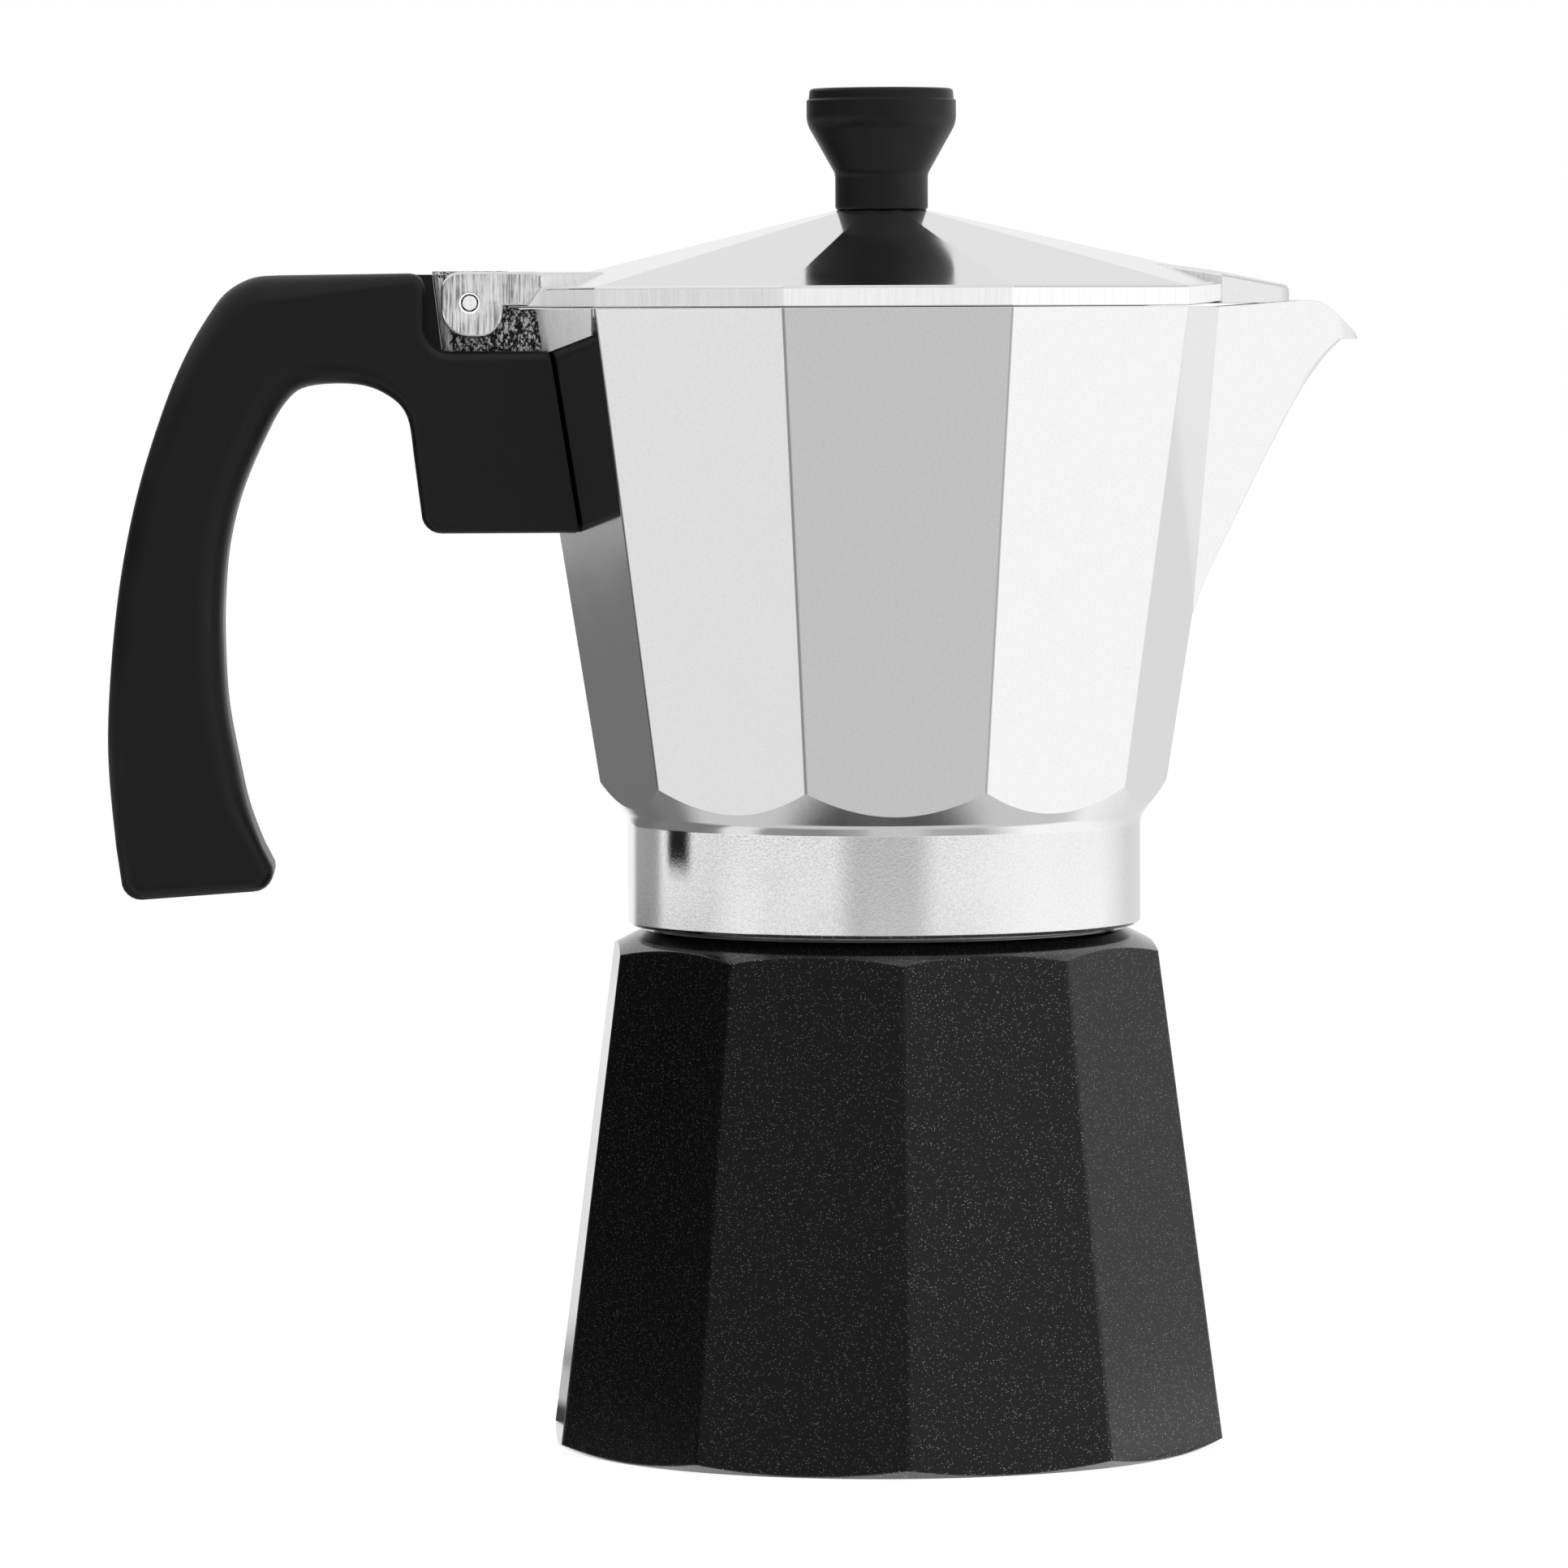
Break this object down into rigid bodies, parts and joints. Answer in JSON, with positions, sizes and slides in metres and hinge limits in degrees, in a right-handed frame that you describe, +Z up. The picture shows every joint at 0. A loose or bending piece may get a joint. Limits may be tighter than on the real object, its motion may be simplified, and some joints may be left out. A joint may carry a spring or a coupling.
{
  "type": "moka pot",
  "caption": "Ten-sided stovetop coffee pot: black coated boiler, polished upper jug with spout, hinged lid with knob, and hooked black handle.",
  "frame": {"origin": "on the pot's axis, on the flat face that it stands on", "axes": "+Z up, -X towards the handle, +X towards the spout, the picture is seen along +Y"},
  "size_m": [0.1986, 0.11, 0.215],
  "materials": {
    "polished_aluminium": "polished cast aluminium",
    "black_coating": "black powder coat with fine pale speckle",
    "black_plastic": "satin black heat-resistant moulding",
    "sheet_aluminium": "spun aluminium sheet",
    "brass": "turned brass",
    "steel": "bright steel",
    "rubber": "matt white food-grade rubber"
  },
  "bodies": {
    "base": {"boiler": "black_coating", "valve_washer": "rubber", "valve_body": "brass", "valve_nut": "brass", "valve_cap": "brass", "valve_spring": "steel"},
    "relief_pin": {"valve_plunger": "steel"},
    "basket": {"funnel": "sheet_aluminium", "funnel_screen": "sheet_aluminium"},
    "seal": {"gasket": "rubber", "filter_plate": "sheet_aluminium"},
    "upper": {"collector": "polished_aluminium", "column": "polished_aluminium", "hinge_pin": "steel", "handle": "black_plastic", "handle_screw": "steel", "handle_washer": "steel"},
    "cover": {"lid": "polished_aluminium", "knob": "black_plastic", "knob_insert": "brass", "knob_washer": "steel", "knob_screw": "steel"}
  },
  "joints": [
    {"name": "collector_lift", "type": "slide", "parent": "base", "child": "seal", "axis": [0, 0, 1], "range_m": [0, 0.0075]},
    {"name": "collector_screw", "type": "hinge", "parent": "seal", "child": "upper", "pos_m": [0, 0, 0.0876], "axis": [0, 0, 1], "range_deg": [0, 900]},
    {"name": "lid_hinge", "type": "hinge", "parent": "upper", "child": "cover", "pos_m": [-0.0654, 0, 0.1813], "axis": [0, -1, 0], "range_deg": [0, 105]},
    {"name": "funnel_lift", "type": "slide", "parent": "base", "child": "basket", "axis": [0, 0, 1], "range_m": [0, 0.00375]},
    {"name": "valve_release", "type": "slide", "parent": "base", "child": "relief_pin", "axis": [0.2909, 0.9485, 0.1254], "range_m": [0, 0.002], "stiffness_N_per_m": 1500, "springref_m": -0.003, "deforming": ["valve_spring"]}
  ],
  "couplings": [
    {"joint": "collector_lift", "follows": "collector_screw", "m_per_rad": 0.00047746},
    {"joint": "funnel_lift", "follows": "collector_screw", "m_per_rad": 0.00023873}
  ]
}
